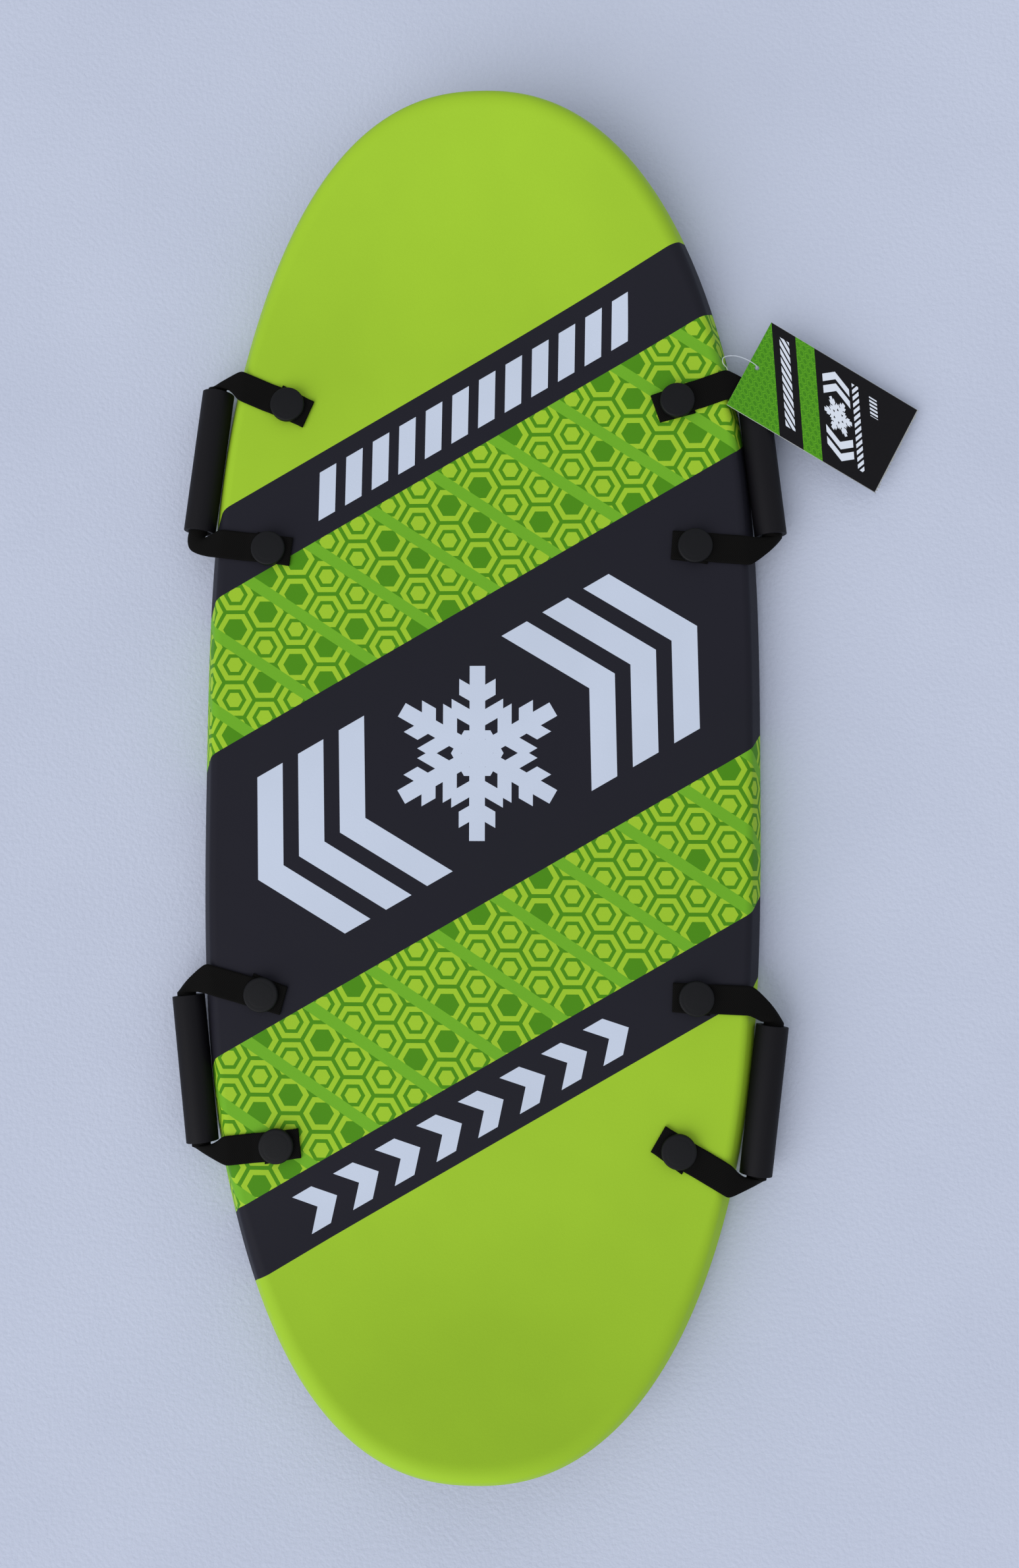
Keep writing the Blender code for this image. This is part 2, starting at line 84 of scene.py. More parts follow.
class Shade:
    """A value in a material's nodes. Arithmetic on it adds Math nodes."""

    def __init__(self, tree, socket=None):
        self.tree = tree
        self.socket = socket

    def node(self, kind, settings=None, inputs=None, output=0):
        made = self.tree.nodes.new(kind)
        for name, value in (settings or {}).items():
            setattr(made, name, value)
        for name, value in (inputs or {}).items():
            if isinstance(value, Shade):
                self.tree.links.new(value.socket, made.inputs[name])
            else:
                made.inputs[name].default_value = value
        return Shade(self.tree, made.outputs[output])

    def calc(self, operation, first, second=0.0):
        return self.node("ShaderNodeMath", {"operation": operation}, {0: first, 1: second})

    def __add__(self, other):
        return self.calc("ADD", self, other)

    def __sub__(self, other):
        return self.calc("SUBTRACT", self, other)

    def __rsub__(self, other):
        return self.calc("SUBTRACT", other, self)

    def __mul__(self, other):
        return self.calc("MULTIPLY", self, other)

    def __truediv__(self, other):
        return self.calc("DIVIDE", self, other)

    def __mod__(self, other):
        return self.calc("FLOORED_MODULO", self, other)

    def __abs__(self):
        return self.calc("ABSOLUTE", self)

    def __lt__(self, other):
        return self.calc("LESS_THAN", self, other)

    def __gt__(self, other):
        return self.calc("GREATER_THAN", self, other)

    __radd__ = __add__
    __rmul__ = __mul__

    def less(self, other):
        return self.calc("MINIMUM", self, other)

    def more(self, other):
        return self.calc("MAXIMUM", self, other)

    def between(self, low, high):
        return (self > low) * (self < high)

    def parts(self):
        split = self.node("ShaderNodeSeparateXYZ", inputs={"Vector": self})
        return [Shade(self.tree, out) for out in split.socket.node.outputs]

    def vector(self, *parts):
        return self.node("ShaderNodeCombineXYZ", inputs=dict(enumerate(parts)))

    def blend(self, under, over):
        """under where this mask is 0, over where it is 1."""
        return self.node("ShaderNodeMix", {"data_type": "RGBA"}, {0: self, 6: under, 7: over}, 2)

    def noise(self, place, scale, detail=2.0):
        inputs = {"Vector": place, "Scale": scale, "Detail": detail}
        return self.node("ShaderNodeTexNoise", inputs=inputs, output="Fac")


def finish(name, paint, **fixed):
    """A material whose changing inputs come from paint, given its nodes and the place in metres."""
    material = bpy.data.materials.new(name)
    material.use_nodes = True
    shader = material.node_tree.nodes["Principled BSDF"]
    for socket, value in fixed.items():
        shader.inputs[socket.replace("_", " ")].default_value = value
    nodes = Shade(material.node_tree)
    place = nodes.node("ShaderNodeTexCoord", output="Object")
    for socket, value in paint(nodes, place).items():
        material.node_tree.links.new(value.socket, shader.inputs[socket])
    return material


def bumps(nodes, height, distance):
    """A normal from a height of 0 to 1 that stands for this distance in metres."""
    inputs = {"Height": height, "Distance": distance, "Strength": 1.0}
    return nodes.node("ShaderNodeBump", inputs=inputs, output="Normal")


def refinish(node, material):
    """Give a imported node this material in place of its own."""
    for slot in frame["nodes"][node].material_slots:
        slot.material = material


def foam_paint(nodes, place):
    inputs = {"Vector": place, "Scale": foam_cells_per_metre}
    cells = nodes.node("ShaderNodeTexVoronoi", inputs=inputs, output="Distance")
    tint = nodes.noise(place, 9.0)
    return {
        "Base Color": (tint * 0.5 + cells * 0.3).blend(foam_pale, foam_shade),
        "Roughness": cells * 0.2 + 0.75,
        "Normal": bumps(nodes, 1 - cells, foam_dent),
    }


refinish("foam_core", finish("Foam beads", foam_paint))

# The base: a sheet of slick polyethylene, welded under the core and showing a fine grain and
# long light scratches along the board, which is how such a base comes out of its mould and wears.
slick_black, slick_scratched = (0.016, 0.016, 0.019, 1), (0.075, 0.075, 0.08, 1)
scratch_depth = 0.0001


def slick_paint(nodes, place):
    x, y, z = place.parts()
    scratch = nodes.noise(nodes.vector(x * 900, y * 9, z), 1.0, 4.0) > 0.66
    grain = nodes.noise(place, 1400.0)
    return {
        "Base Color": (scratch * 0.35 + grain * 0.2).blend(slick_black, slick_scratched),
        "Roughness": scratch * 0.2 + grain * 0.12 + 0.26,
        "Normal": bumps(nodes, grain * 0.3 - scratch * 0.4, scratch_depth),
    }


refinish("slick_base", finish("Slick base sheet", slick_paint, Coat_Weight=0.1))

# The skin: 3 mm of soft foam with a printed satin film, drawn over the deck and round the rails
# to the base. Its outline is one rounded curve, and both tips turn up.
board_length, board_width, tip_power, side_power = 1.180, 0.492, 2.25, 3.0
tip_rise, flat_length, tips_from = 0.060, 0.720, 0.30
deck_height, skin_thickness, last_ring_inset = 0.0400, 0.0030, 0.080
rail_overhang, widest_height, rail_radius = 0.012, 0.012, 0.011
rail_foot, inner_foot, inner_rail = (0.00667, 0.0023), (0.0095, 0.0023), (0.0036, 0.0115)
side_edge_radius, side_inner_edge = 0.009, (0.0140, 0.0370)
tip_edge_radius, tip_inner_edge = 0.020, (0.0152, 0.0362)
skin_points_round, edge_steps = 512, 10


def eased(share):
    """A share from 0 to 1 that starts and ends gently."""
    return share * share * (3 - 2 * share)


def outline_ring(place, tip_place):
    """The outline at an (inset, height) that eases from place along the sides to tip_place at the tips."""
    a, b = board_width / 2, board_length / 2
    points = []
    for step in range(skin_points_round):
        angle = math.tau * step / skin_points_round
        c, s = math.cos(angle), math.sin(angle)
        u = math.copysign(abs(c) ** (2 / tip_power), c)
        v = math.copysign(abs(s) ** (2 / side_power), s)
        outward = Vector((math.copysign(tip_power * abs(u) ** (tip_power - 1), u) / a,
                          math.copysign(side_power * abs(v) ** (side_power - 1), v) / b)).normalized()
        share = max(0.0, (b * abs(v) - tips_from) / (b - tips_from))
        inset, height = place.lerp(tip_place, eased(share))
        x, y = a * u - outward.x * inset, b * v - outward.y * inset
        lift = tip_rise * (max(0.0, abs(y) - flat_length / 2) / (b - flat_length / 2)) ** 2
        points.append(Vector((x, y, height + lift)))
    return points


def rounded(corners, steps):
    """A line of (inset, height) points through the corners, each rounded by its own radius."""
    line = []
    for k, (x, z, radius) in enumerate(corners):
        corner = Vector((x, z))
        if not radius:
            line.append(corner)
            continue
        back = (Vector(corners[k - 1][:2]) - corner).normalized()
        on = (Vector(corners[k + 1][:2]) - corner).normalized()
        half_angle = back.angle(on) / 2
        middle = corner + (back + on).normalized() * (radius / math.sin(half_angle))
        first, last = (corner + way * (radius / math.tan(half_angle)) - middle for way in (back, on))
        for step in range(steps + 1):
            line.append(middle + first.slerp(last, step / steps) * radius)
    return line


def skin_section(edge_radius, inner_edge):
    """The skin's section as a line of (inset, height) points, over the rail and back inside it."""
    outside = rounded([(last_ring_inset, deck_height, 0), (rail_overhang, deck_height, edge_radius),
                       (0, widest_height, rail_radius), (*rail_foot, 0)], edge_steps)
    inside = (inner_foot, inner_rail, inner_edge, (last_ring_inset, deck_height - skin_thickness))
    return outside + [Vector(point) for point in inside]


# The rings run from the deck over the rail and back inside it. The soft foam is rounder round the
# tips than along the sides. The print is laid out flat: each ring's place on the printed film is as
# far from the deck's edge as the film itself runs.
section = skin_section(side_edge_radius, side_inner_edge)
tip_section = skin_section(tip_edge_radius, tip_inner_edge)
skin_mesh = bmesh.new()
film = skin_mesh.loops.layers.uv.new("film")
rows, film_rows, film_inset = [], [], section[0].x
for before, point, tip_point in zip(section[:1] + section, section, tip_section):
    film_inset -= (point - before).length
    rows.append([skin_mesh.verts.new(p) for p in outline_ring(point, tip_point)])
    film_rows.append([p.xy for p in outline_ring(Vector((film_inset, 0)), Vector((film_inset, 0)))])
faces = []
for r in range(len(rows) - 1):
    for i in range(skin_points_round):
        j = (i + 1) % skin_points_round
        faces.append([(r, i), (r + 1, i), (r + 1, j), (r, j)])

# Strips straight across the board close the first and the last ring.
quarter = skin_points_round // 4
for r in (0, len(rows) - 1):
    for k in range(skin_points_round // 2):
        corners = (quarter - k, quarter - k - 1, quarter + k + 1, quarter + k)
        faces.append(list(dict.fromkeys((r, corner % skin_points_round) for corner in corners)))
for corners in faces:
    face = skin_mesh.faces.new([rows[r][i] for r, i in corners])
    for loop, (r, i) in zip(face.loops, corners):
        loop[film].uv = film_rows[r][i]
bmesh.ops.recalc_face_normals(skin_mesh, faces=skin_mesh.faces)
skin = placed("printed_skin", bpy.data.meshes.new("printed_skin"))
skin_mesh.to_mesh(skin.data)
skin.data.shade_smooth()
skin.data.set_sharp_from_angle(angle=math.radians(50))

# The print's bands cross the board at an angle: a black field, and two bands of honeycomb in it.
# Their limits are in metres across them from the board's middle.
print_angle = math.radians(30.2)
black_field, front_comb, rear_comb = (-0.2825, 0.3135), (0.1288, 0.2471), (-0.2225, -0.1016)
comb_cell = 0.031
lime, leaf, cross_green = (0.341, 0.558, 0.0290, 1), (0.074, 0.258, 0.008, 1), (0.16, 0.42, 0.022, 1)
print_black, print_white = (0.0150, 0.0140, 0.0215, 1), (0.565, 0.62, 0.74, 1)
ink_stain, film_relief = (0.012, 0.020, 0.010, 1), 0.0010


def honeycomb(nodes, along, across, cell):
    """The distance from the middle of a honeycomb cell, 0 to 0.5 at its edge, and the cell's own number."""
    rise = math.sqrt(3)
    best = None
    for shift in (0.0, 0.5):
        x = (along / cell + shift) % 1.0 - 0.5
        y = (across / cell + shift * rise) % rise - rise / 2
        far = abs(x).more(abs(x) * 0.5 + abs(y) * (rise / 2))
        number = nodes.noise(nodes.vector(along / cell - x, across / cell - y, shift), 3.7, 0.0)
        if best is None:
            best = (far, number)
        else:
            nearer = far < best[0]
            best = (far.less(best[0]), nearer * number + (1 - nearer) * best[1])
    return best


def snow_crystal(nodes, x, y, radius, width):
    """A mask of a six-armed snow crystal with two pairs of branches on each arm."""
    angle = nodes.calc("ARCTAN2", y, x)
    third = math.pi / 3
    folded = abs((angle + third / 2) % third - third / 2)
    far = nodes.calc("SQRT", x * x + y * y)
    run = far * nodes.calc("COSINE", folded)
    side = far * nodes.calc("SINE", folded)
    shape = (side < width / 2) * (run < radius)
    for root, length in ((0.36, 0.34), (0.64, 0.24)):
        across = abs((run - radius * root) * math.sin(third) - side * math.cos(third))
        shape = shape.more((across < width * 0.45) * (side < radius * length * math.sin(third)))
    return shape.more(run.between(radius * 0.16, radius * 0.26))


def bars(run, height, pitch, ink_share, half_height):
    """A mask of an endless row of bars, with ink on this share of each pitch."""
    return ((run / pitch) % 1.0 < ink_share) * (abs(height) < half_height)


def chevrons(run, height, first, last, pitch, ink_share, half_height):
    """A mask of chevrons on both sides of a middle, pointing away from it."""
    wings = abs(run) + abs(height) * 0.55
    return bars(wings - first, height, pitch, ink_share, half_height) * wings.between(first, last)


def deck_print(nodes, place):
    x, y, _ = nodes.node("ShaderNodeUVMap", {"uv_map": "film"}, output="UV").parts()
    along = x * math.cos(print_angle) + y * math.sin(print_angle)
    across = y * math.cos(print_angle) - x * math.sin(print_angle)

    # Honeycomb in two greens, crossed by plain stripes in a third, between stripes of black.
    far, number = honeycomb(nodes, along, across, comb_cell)
    ring = far.between(0.30, 0.445)
    middle = (far < 0.20) * (number > 0.47)
    cells = ring.more(middle).blend(leaf, lime)
    cross = nodes.calc("PINGPONG", along + across * 0.5, comb_cell) / comb_cell
    cells = (cross > 0.82).blend(cells, cross_green)
    black = across.between(*black_field)
    comb = across.between(*front_comb).more(across.between(*rear_comb))
    colour = comb.blend(black.blend(lime, print_black), cells)

    # White shapes: slanted bars, a snow crystal between chevrons, and a row of small chevrons.
    height = across - 0.280
    run = along - 0.160 - height * 0.6
    white = bars(run, height, pitch=0.027, ink_share=0.62, half_height=0.0185) * (abs(run) < 0.162)
    height, run = across - 0.0136, along - 0.006
    white = white.more(snow_crystal(nodes, run, height, radius=0.076, width=0.0135))
    white = white.more(chevrons(run, height, first=0.112, last=0.226, pitch=0.041,
                                ink_share=0.62, half_height=0.078))
    height = abs(across + 0.2545)
    run = along + 0.141 + height * 0.9
    white = white.more(bars(run, height, pitch=0.041, ink_share=0.47, half_height=0.0175)
                       * (abs(run) < 0.164))
    colour = white.blend(colour, print_white)

    # The film: a slight unevenness of ink, fine pores, and the foam's soft waves beneath.
    fade = nodes.noise(place, 7.0, 3.0)
    speck = nodes.noise(place, 1900.0, 1.0)
    waves = nodes.noise(place, 16.0, 1.0)
    pores = nodes.noise(place, 420.0, 2.0)
    return {
        "Base Color": (fade * 0.16 + speck * 0.10 - 0.07).blend(colour, ink_stain),
        "Roughness": 0.44 + speck * 0.12 + black * 0.03,
        "Normal": bumps(nodes, waves + speck * 0.05 + pores * 0.06, film_relief),
    }


skin.data.materials.append(finish("Printed film on foam", deck_print, Specular_IOR_Level=0.07))
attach(skin, "board")
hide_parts("deck_skin")

# Eight plugs: a moulded nylon cap on the deck, whose stem screws into a flanged socket in the base.
# Each cap is a low disc with a rounded rim and a faint ring where its mould parted.
cap_radius, cap_low, cap_high = 0.0150, 0.0437, 0.0487
cap_dome, cap_rim_radius, cap_foot = 0.00045, 0.0016, 0.0004
dome_shares, parting_ring = (0.2, 0.4, 0.6, 0.74), ((0.755, 0.00029), (0.77, 0.00028))
cap_steps, merge_distance = 72, 1e-6
moulded_black, moulded_grey = (0.0034, 0.0034, 0.0044, 1), (0.0080, 0.0080, 0.0095, 1)
mould_grain_depth = 0.00012
joint_named = {joint["name"]: joint for joint in frame["joints"]}
handle_names = ("left_front", "right_front", "left_rear", "right_rear")


def moulded_paint(nodes, place):
    grain = nodes.noise(place, 1500.0, 2.0)
    cloud = nodes.noise(place, 60.0, 3.0)
    return {
        "Base Color": (grain * 0.3 + cloud * 0.5).blend(moulded_black, moulded_grey),
        "Roughness": grain * 0.15 + cloud * 0.12 + 0.38,
        "Normal": bumps(nodes, grain, mould_grain_depth),
    }


def turned(name, profile, closed, steps, material):
    """A mesh turned round z from (radius, height) points, in a closed line or one that ends on the axis."""
    shape = bmesh.new()
    points = [shape.verts.new((radius, 0, height)) for radius, height in profile]
    following = points[1:] + points[:1] if closed else points[1:]
    for first, second in zip(points, following):
        shape.edges.new((first, second))
    bmesh.ops.spin(shape, geom=shape.verts[:] + shape.edges[:], cent=(0, 0, 0), axis=(0, 0, 1),
                   angle=math.tau, steps=steps, use_merge=True)
    bmesh.ops.remove_doubles(shape, verts=shape.verts, dist=merge_distance)
    bmesh.ops.recalc_face_normals(shape, faces=shape.faces)
    mesh = bpy.data.meshes.new(name)
    shape.to_mesh(mesh)
    mesh.shade_smooth()
    mesh.set_sharp_from_angle(angle=math.radians(40))
    mesh.materials.append(material)
    return mesh


moulded = finish("Moulded nylon", moulded_paint, Specular_IOR_Level=0.15)
cap_profile = [(0, cap_high)]
cap_profile += [(cap_radius * share, cap_high - cap_dome * share ** 2) for share in dome_shares]
cap_profile += [(cap_radius * share, cap_high - drop) for share, drop in parting_ring]
for degrees in range(0, 91, 10):
    angle = math.radians(degrees)
    cap_profile.append((cap_radius - cap_rim_radius + cap_rim_radius * math.sin(angle),
                        cap_high - cap_dome - cap_rim_radius * (1 - math.cos(angle))))
cap_profile += [(cap_radius, cap_low + cap_foot), (cap_radius - cap_foot, cap_low), (0, cap_low)]
cap_mesh = turned("plug_cap", cap_profile, False, cap_steps, moulded)
plug_names = [handle_name + end for handle_name in handle_names for end in ("_outer", "_inner")]
for name in plug_names:
    low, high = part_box("plug_cap_" + name)
    cap = placed("cap_" + name, cap_mesh)
    cap.location = ((low[0] + high[0]) / 2, (low[1] + high[1]) / 2, high[2] - cap_high)
    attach(cap, "board")
    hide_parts("plug_cap_" + name)
    refinish("plug_base_" + name, moulded)

# Four handles of 25 mm polyester webbing: one length each, folded double under its two caps,
# laid over the edge of the deck and curled into the mouths of its grip sleeve.
webbing_width, webbing_thickness, layer_gap = 0.025, 0.0014, 0.0003
lower_layer = -webbing_thickness / 2
upper_layer = lower_layer + webbing_thickness + layer_gap
plug_line, plug_spacing = 0.0441, 0.1290
fold_past_plug, tail_past_plug, step_down, bare_before_edge = 0.0185, 0.0120, 0.0100, 0.0055
grip_length, curl_radius, mouth_offset = 0.127, 0.0089, 0.0030
edge_ease, turn_start, turn_pull, turn_depth = 0.004, 0.0025, 0.60, 0.55
edge_rows = (-0.0040, -0.0028, -0.0016, -0.0004, 0.0008, 0.0018)
columns, straight_steps, fold_steps, turn_steps = 15, 6, 8, 16
softening_passes, softened_rows = 6, slice(1, 14)
rib_pitch, chevron_width, yarn_pitch, weave_relief = 0.0019, 0.0062, 0.00052, 0.00014
webbing_black, webbing_grey = (0.0016, 0.0014, 0.0012, 1), (0.0044, 0.0040, 0.0036, 1)

# Each handle was fitted by hand, so its two legs differ. The leg nearer the tip is named first.
# The cut tails lie a little askew under the caps, each leg crosses the edge at its own distance
# past the grip's end, and one inner leg turns towards its grip in a rounded elbow.
tail_skews = {"left_front": (0.09, -0.05), "right_front": (-0.08, 0.06),
              "left_rear": (0.07, 0.10), "right_rear": (0.10, -0.06)}
edge_past_grip = {"left_front": (0.0035, 0.0117), "right_front": (0.0065, 0.0138),
                  "left_rear": (0.0079, 0.0117), "right_rear": (0.0052, 0.0194)}
elbowed_handles, elbow_width = ("left_front",), 0.0130


def webbing_paint(nodes, place):
    run, side, _ = nodes.node("ShaderNodeUVMap", {"uv_map": "weave"}, output="UV").parts()
    slant = abs((side / chevron_width) % 1.0 - 0.5) * 2
    rib = (run / rib_pitch + slant * 1.6) % 1.0
    ridge = nodes.calc("SINE", rib * math.pi)
    yarn = nodes.calc("SINE", side / yarn_pitch * math.tau) * 0.5 + 0.5
    fuzz = nodes.noise(nodes.vector(run, side * 3.0, 0.0), 700.0, 3.0)
    return {
        "Base Color": (ridge * 0.45 + fuzz * 0.4).blend(webbing_black, webbing_grey),
        "Roughness": 0.95 - ridge * 0.18,
        "Normal": bumps(nodes, ridge * 0.8 + yarn * 0.2, weave_relief),
    }


class Handle:
    """A handle's own frame at its fold line: x along the edge, y outwards, z up."""

    def __init__(self, name):
        swing, spin = joint_named["swing_" + name], joint_named["spin_" + name]
        self.along = Vector(swing["axis"]).normalized()
        outward = Vector((0, 0, 1)).cross(self.along)
        turn = Matrix((self.along, outward, Vector((0, 0, 1)))).transposed().to_4x4()
        self.matrix = Matrix.Translation(swing["pos_m"]) @ turn
        self.grip_middle = self.matrix.inverted() @ Vector(spin["pos_m"])
        self.tipward = 1 if self.along.y * swing["pos_m"][1] > 0 else -1
        self.shift = self.grip_middle.x * self.tipward
        y, z = self.grip_middle.y, self.grip_middle.z
        depth = webbing_thickness / 2 + curl_radius
        self.droop = math.asin(depth / math.hypot(y, z)) - math.atan2(-z, y)
        self.reach = math.sqrt(math.hypot(y, z) ** 2 - depth ** 2)
        self.past_grip = dict(zip((1, -1), edge_past_grip[name]))

    def drooped(self, x, y, drop):
        """A point of the loop's plane in the handle's frame, with the fold eased over the edge."""
        tilted = Matrix.Rotation(self.droop, 3, "X") @ Vector((x, y, drop))
        if y < edge_ease:
            tilted.z = drop + math.tan(self.droop) * max(0, y + edge_ease) ** 2 / (4 * edge_ease)
        return tilted

    def clamped_line(self, lean, across, skew):
        """(distance in from the edge, height, slide across) from the cut tail, under the fold and back."""
        to_plug = plug_line / math.cos(lean)
        end, back = to_plug + fold_past_plug, to_plug - tail_past_plug
        bend, middle = (upper_layer - lower_layer) / 2, (upper_layer + lower_layer) / 2
        doubled = end - back
        shares = [step / straight_steps for step in range(straight_steps + 1)]
        line = [(back + doubled * share, lower_layer, skew * (1 - share) * doubled) for share in shares]
        for step in range(1, fold_steps):
            angle = math.pi * step / fold_steps
            line.append((end + bend * math.sin(angle), middle - bend * math.cos(angle), 0))
        line += [(end - doubled * share, upper_layer, 0) for share in shares]
        line += [(back - step_down * share, upper_layer + (lower_layer - upper_layer) * eased(share), 0)
                 for share in shares[1:]]
        tab_end = back - step_down
        near = (bare_before_edge - across * math.sin(lean)) / math.cos(lean)
        return line + [(tab_end + (near - tab_end) * share, lower_layer, 0) for share in shares[1:]]

    def hanging_line(self, crossing, lean, mouth, across, elbow):
        """Points in the loop's plane from the edge to the grip's mouth, where the webbing has curled."""
        share = 0.5 - across / webbing_width
        half = webbing_width / (2 * math.cos(lean))
        base = Vector((crossing + half * (1 - 2 * share), 0, lower_layer))
        slant = Vector((math.tan(lean), 1, 0))
        start = base + slant * turn_start
        angle = webbing_width / curl_radius * (0.5 - share)
        curled = Vector((mouth, self.reach + curl_radius * math.sin(angle),
                         lower_layer - curl_radius * (1 - math.cos(angle))))
        pull = turn_pull * min(1, max(0, (start.x - mouth) / webbing_width))
        turn = Vector((mouth + pull * (start.x - mouth), start.y + turn_depth * (curled.y - start.y),
                       lower_layer))
        if elbow:
            turn = Vector((crossing + half - elbow_width * share, curled.y, lower_layer))
        line = [base + slant * y for y in edge_rows]
        for u in (step / turn_steps for step in range(turn_steps + 1)):
            line.append(start * (1 - u) ** 2 + turn * (2 * u * (1 - u)) + curled * u ** 2)
        for _ in range(softening_passes):
            line[softened_rows] = [(a + b * 2 + c) / 4
                                   for a, b, c in zip(line, line[softened_rows], line[2:])]
        return line + [curled - Vector((mouth_offset * k, 0, 0)) for k in (0.5, 1.0, 2.0)]

    def leg_line(self, which, across, skew, elbow):
        """One leg's points at this distance across it, from its cut tail to the grip's mouth."""
        grip_end = self.shift * which + grip_length / 2
        crossing = grip_end + self.past_grip[which]
        lean = math.atan2(crossing - plug_spacing / 2, plug_line)
        points = []
        for run, height, slide in self.clamped_line(lean, across, skew):
            offset = across + slide
            x = which * (crossing - run * math.sin(lean) + offset * math.cos(lean))
            y = -run * math.cos(lean) - offset * math.sin(lean)
            points.append(Vector((self.tipward * x, y, height)))
        for point in self.hanging_line(crossing, lean, grip_end + mouth_offset, across, elbow):
            points.append(self.drooped(self.tipward * which * point.x, point.y, point.z))
        return points


webbing = finish("Polyester webbing", webbing_paint, Specular_IOR_Level=0.08)
handles = {name: Handle(name) for name in handle_names}
for name, handle in handles.items():
    outer_skew, inner_skew = tail_skews[name]
    lines = []
    for column in range(columns):
        across = webbing_width * (0.5 - column / (columns - 1))
        outer_leg = handle.leg_line(1, across, outer_skew, False)
        inner_leg = handle.leg_line(-1, across, inner_skew, name in elbowed_handles)
        lines.append(outer_leg + inner_leg[::-1])
    middle_line = lines[columns // 2]
    runs = [0.0]
    for before, after in zip(middle_line, middle_line[1:]):
        runs.append(runs[-1] + (after - before).length)
    strap_mesh = bmesh.new()
    weave = strap_mesh.loops.layers.uv.new("weave")
    grid = [[strap_mesh.verts.new(handle.matrix @ point) for point in line] for line in lines]
    for k in range(columns - 1):
        for i in range(len(runs) - 1):
            corners = ((k, i), (k, i + 1), (k + 1, i + 1), (k + 1, i))
            face = strap_mesh.faces.new([grid[a][b] for a, b in corners])
            for loop, (a, b) in zip(face.loops, corners):
                loop[weave].uv = (runs[b], webbing_width * a / (columns - 1))
    strap = placed("webbing_" + name, bpy.data.meshes.new("webbing_" + name))
    strap_mesh.to_mesh(strap.data)
    strap.data.shade_smooth()
    strap.data.materials.append(webbing)
    solidify = strap.modifiers.new("Thickness", "SOLIDIFY")
    solidify.thickness = webbing_thickness
    solidify.offset = 0
    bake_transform(strap)
    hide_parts("strap_loop_" + name, "strap_end_" + name + "_outer", "strap_end_" + name + "_inner")

# Four grip sleeves: cut lengths of matt extruded tube that turn freely on the webbing.
# They have faint lines along them from the die, and a slightly rounded saw cut at each end.
sleeve_outside, sleeve_bore, sleeve_half = 0.0140, 0.0100, grip_length / 2
outside_edge_radius, bore_edge_radius, sleeve_steps, cut_steps = 0.0005, 0.0004, 96, 5
sleeve_black, sleeve_grey = (0.0040, 0.0036, 0.0050, 1), (0.0100, 0.0092, 0.0115, 1)
die_line_depth = 0.00018


def sleeve_paint(nodes, place):
    x, y, z = place.parts()
    around = nodes.calc("ARCTAN2", y, x)
    die_lines = nodes.noise(nodes.vector(around * 26.0, z * 6.0, 0.0), 1.0, 4.0)
    grain = nodes.noise(place, 1200.0, 2.0)
    return {
        "Base Color": (die_lines * 0.5 + grain * 0.3).blend(sleeve_black, sleeve_grey),
        "Roughness": 0.48 + die_lines * 0.12 + grain * 0.10,
        "Normal": bumps(nodes, die_lines * 0.6 + grain * 0.4, die_line_depth),
    }


sleeve_line = rounded([(sleeve_bore, 0, 0), (sleeve_bore, sleeve_half, bore_edge_radius),
                       (sleeve_outside, sleeve_half, outside_edge_radius),
                       (sleeve_outside, -sleeve_half, outside_edge_radius),
                       (sleeve_bore, -sleeve_half, bore_edge_radius), (sleeve_bore, 0, 0)], cut_steps)
sleeve_mesh = turned("grip_sleeve", sleeve_line[:-1], True, sleeve_steps,
                     finish("Matt sleeve", sleeve_paint, Specular_IOR_Level=0.12))
lying = Matrix.Rotation(math.pi / 2, 4, "Y")
for name, handle in handles.items():
    sleeve = placed("sleeve_" + name, sleeve_mesh)
    sleeve.matrix_world = handle.matrix @ Matrix.Translation(handle.grip_middle) @ lying
    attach(sleeve, "grip_sleeve_" + name)
    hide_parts("grip_" + name)

# The hang tag: a printed and varnished card, torn off its neighbour along the far edge,
# with a punched hole. It slopes down from the webbing over the right front grip.
card_length, card_width, card_thickness = 0.153, 0.087, 0.0006
hole_inset, hole_radius, hole_steps = 0.008, 0.002, 32
card_turn, stripe_slope = math.radians(35), 0.62
teeth, tooth_length, tear_wander = 58, 0.0016, 0.0005
card_cell, card_stripe = 0.0060, (0.0245, 0.0440)
card_leaf, card_lime = (0.055, 0.240, 0.0075, 1), (0.100, 0.355, 0.011, 1)
card_black, card_white = (0.0042, 0.0034, 0.0046, 1), (0.72, 0.76, 0.84, 1)
# The third colour on the next line is a painted highlight for the card's sides and torn end; the line after
# gives that band's width.
bare_board, fibre_grey, edge_highlight = (0.62, 0.63, 0.62, 1), (0.30, 0.32, 0.33, 1), (0.55, 0.56, 0.55, 1)
side_highlight_width, fibre_relief = 0.00025, 0.00006


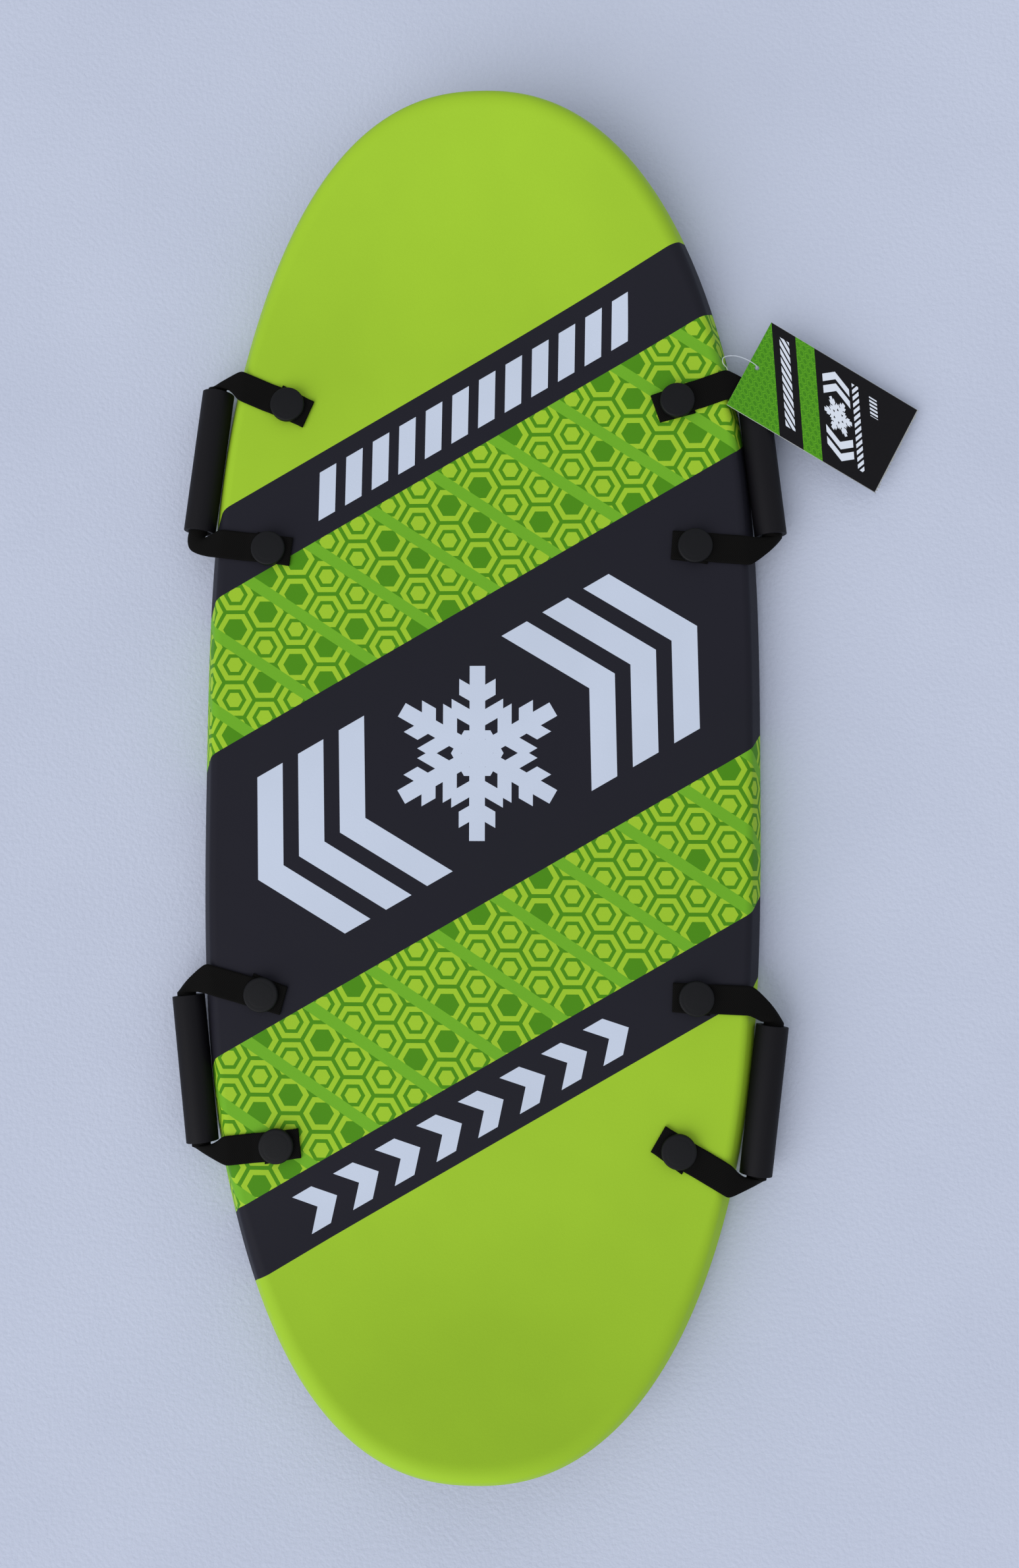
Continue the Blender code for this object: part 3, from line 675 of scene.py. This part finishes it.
def card_print(nodes, place):
    x, y, z = place.parts()
    down = card_width / 2 - y
    run = x + hole_inset - down * stripe_slope
    far, _ = honeycomb(nodes, run, down, card_cell)
    cells = far.between(0.30, 0.45).blend(card_leaf, card_lime)
    colour = (run < 0.0).more(run.between(*card_stripe)).blend(card_black, cells)

    # White shapes: slanted bars, a snow crystal between chevrons, a row of ticks and a few small ones.
    along, height = down - 0.042, run - 0.0122
    white = bars(along - height, height, pitch=0.0068, ink_share=0.66, half_height=0.0050)
    white = white * (abs(along) < 0.034)
    along, height = down - 0.0435, run - 0.0645
    white = white.more(snow_crystal(nodes, height, along, radius=0.0142, width=0.0030))
    white = white.more(chevrons(along, height, first=0.0195, last=0.0375, pitch=0.0090,
                                ink_share=0.64, half_height=0.0138))
    height = run - 0.0850
    white = white.more(bars(along + height, height, pitch=0.0052, ink_share=0.60, half_height=0.0034)
                       * (abs(along) < 0.0330))
    white = white.more(bars(down - 0.018, run - 0.1035, pitch=0.0030, ink_share=0.55, half_height=0.0040)
                       * (abs(down - 0.020) < 0.0075))

    # The printed face is varnished, the back is plain board, and faint fibres show all over it.
    plain = z < 0
    fibres = nodes.noise(place, 900.0, 4.0)
    colour = plain.blend((white * (z > 0)).blend(colour, card_white), bare_board)
    colour = (fibres * 0.012).blend(colour, fibre_grey)
    # Painted highlight: the sides and the torn end, a quarter millimetre in, are blended towards a light
    # grey.
    edge = (abs(y) > card_width / 2 - side_highlight_width).more(x > card_length - hole_inset - tooth_length)
    return {
        "Base Color": (edge * 0.6).blend(colour, edge_highlight),
        "Roughness": 0.30 + fibres * 0.15 + plain * 0.3,
        "Normal": bumps(nodes, fibres, fibre_relief),
    }


card_outline = bpy.data.curves.new("card", "CURVE")
card_outline.dimensions = "2D"
card_outline.fill_mode = "BOTH"
card_outline.extrude = card_thickness / 2
near_edge, far_edge, side_edge = -hole_inset, card_length - hole_inset, card_width / 2
cut_edges = [(near_edge, side_edge), (near_edge, -side_edge)]
for k in range(teeth + 1):
    tear = tooth_length * (k % 2) * abs(math.sin(1.9 * k)) + tear_wander * math.sin(2.7 * k)
    cut_edges.append((far_edge - tear, -side_edge + card_width * k / teeth))
hole_angles = [math.tau * k / hole_steps for k in range(hole_steps)]
hole = [(hole_radius * math.cos(angle), hole_radius * math.sin(angle)) for angle in hole_angles]
for points in (cut_edges, hole):
    spline = card_outline.splines.new("POLY")
    spline.points.add(len(points) - 1)
    for target, (x, y) in zip(spline.points, points):
        target.co = (x, y, 0, 1)
    spline.use_cyclic_u = True
card_outline.materials.append(finish("Varnished card", card_print, Specular_IOR_Level=0.12))
card = placed("card", card_outline)
swivel = joint_named["tag_swivel"]
card_up = Vector(swivel["axis"]).normalized()
beside_grip = handles["right_front"].along
level = (beside_grip - card_up * beside_grip.dot(card_up)).normalized()
card_on = card_up.cross(level) * math.cos(card_turn) + level * math.sin(card_turn)
axes = Matrix((card_on, card_up.cross(card_on), card_up)).transposed().to_4x4()
card.matrix_world = Matrix.Translation(swivel["pos_m"]) @ axes
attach(card, "hang_tag")
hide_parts("tag_card")

# The tag's loop: a clear nylon filament through the hole and round the webbing.
# It is drawn thin and glossy, with slight unevenness along it.
filament_clear, filament_bright = (0.58, 0.62, 0.68, 1), (0.74, 0.78, 0.84, 1)


def filament_paint(nodes, place):
    streak = nodes.noise(place, 300.0, 2.0)
    return {
        "Base Color": streak.blend(filament_clear, filament_bright),
        "Roughness": streak * 0.1 + 0.08,
    }


refinish("tag_loop", finish("Clear nylon", filament_paint, Alpha=0.38, IOR=1.45))

# The setting: a plain pale floor with a faint cold blue in it, and broad soft light from all
# round, a little more of it from the rear left.
floor_reach, floor_drop, floor_relief = 30, 0.0004, 0.0015
floor_pale, floor_blue = (0.560, 0.597, 0.715, 1), (0.430, 0.464, 0.580, 1)
cloud_light, cloud_strength = (0.90, 0.94, 1.0, 1), 0.70
sky_strength, sky_spread, sky_way = 1.8, math.radians(60), Vector((1.2, 1.3, -1.4))


def floor_paint(nodes, place):
    cloud = nodes.noise(place, 5.0, 5.0)
    grain = nodes.noise(place, 260.0, 3.0)
    return {
        "Base Color": (cloud * 0.55 + grain * 0.25).blend(floor_pale, floor_blue),
        "Roughness": grain * 0.1 + 0.8,
        "Normal": bumps(nodes, cloud * 0.6 + grain * 0.4, floor_relief),
    }


floor_mesh = bpy.data.meshes.new("floor")
floor_corners = [(x * floor_reach, y * floor_reach, 0) for x, y in ((-1, -1), (1, -1), (1, 1), (-1, 1))]
floor_mesh.from_pydata(floor_corners, [], [(0, 1, 2, 3)])
floor_mesh.materials.append(finish("Pale floor", floor_paint))
floor = placed("floor", floor_mesh)
floor.location.z = -floor_drop

world = bpy.data.worlds.new("Overcast")
bpy.context.scene.world = world
world.use_nodes = True
world.node_tree.nodes["Background"].inputs["Color"].default_value = cloud_light
world.node_tree.nodes["Background"].inputs["Strength"].default_value = cloud_strength
sky = placed("sky", bpy.data.lights.new("sky", "SUN"))
sky.data.energy = sky_strength
sky.data.angle = sky_spread
sky.rotation_euler = sky_way.to_track_quat("-Z", "Y").to_euler()
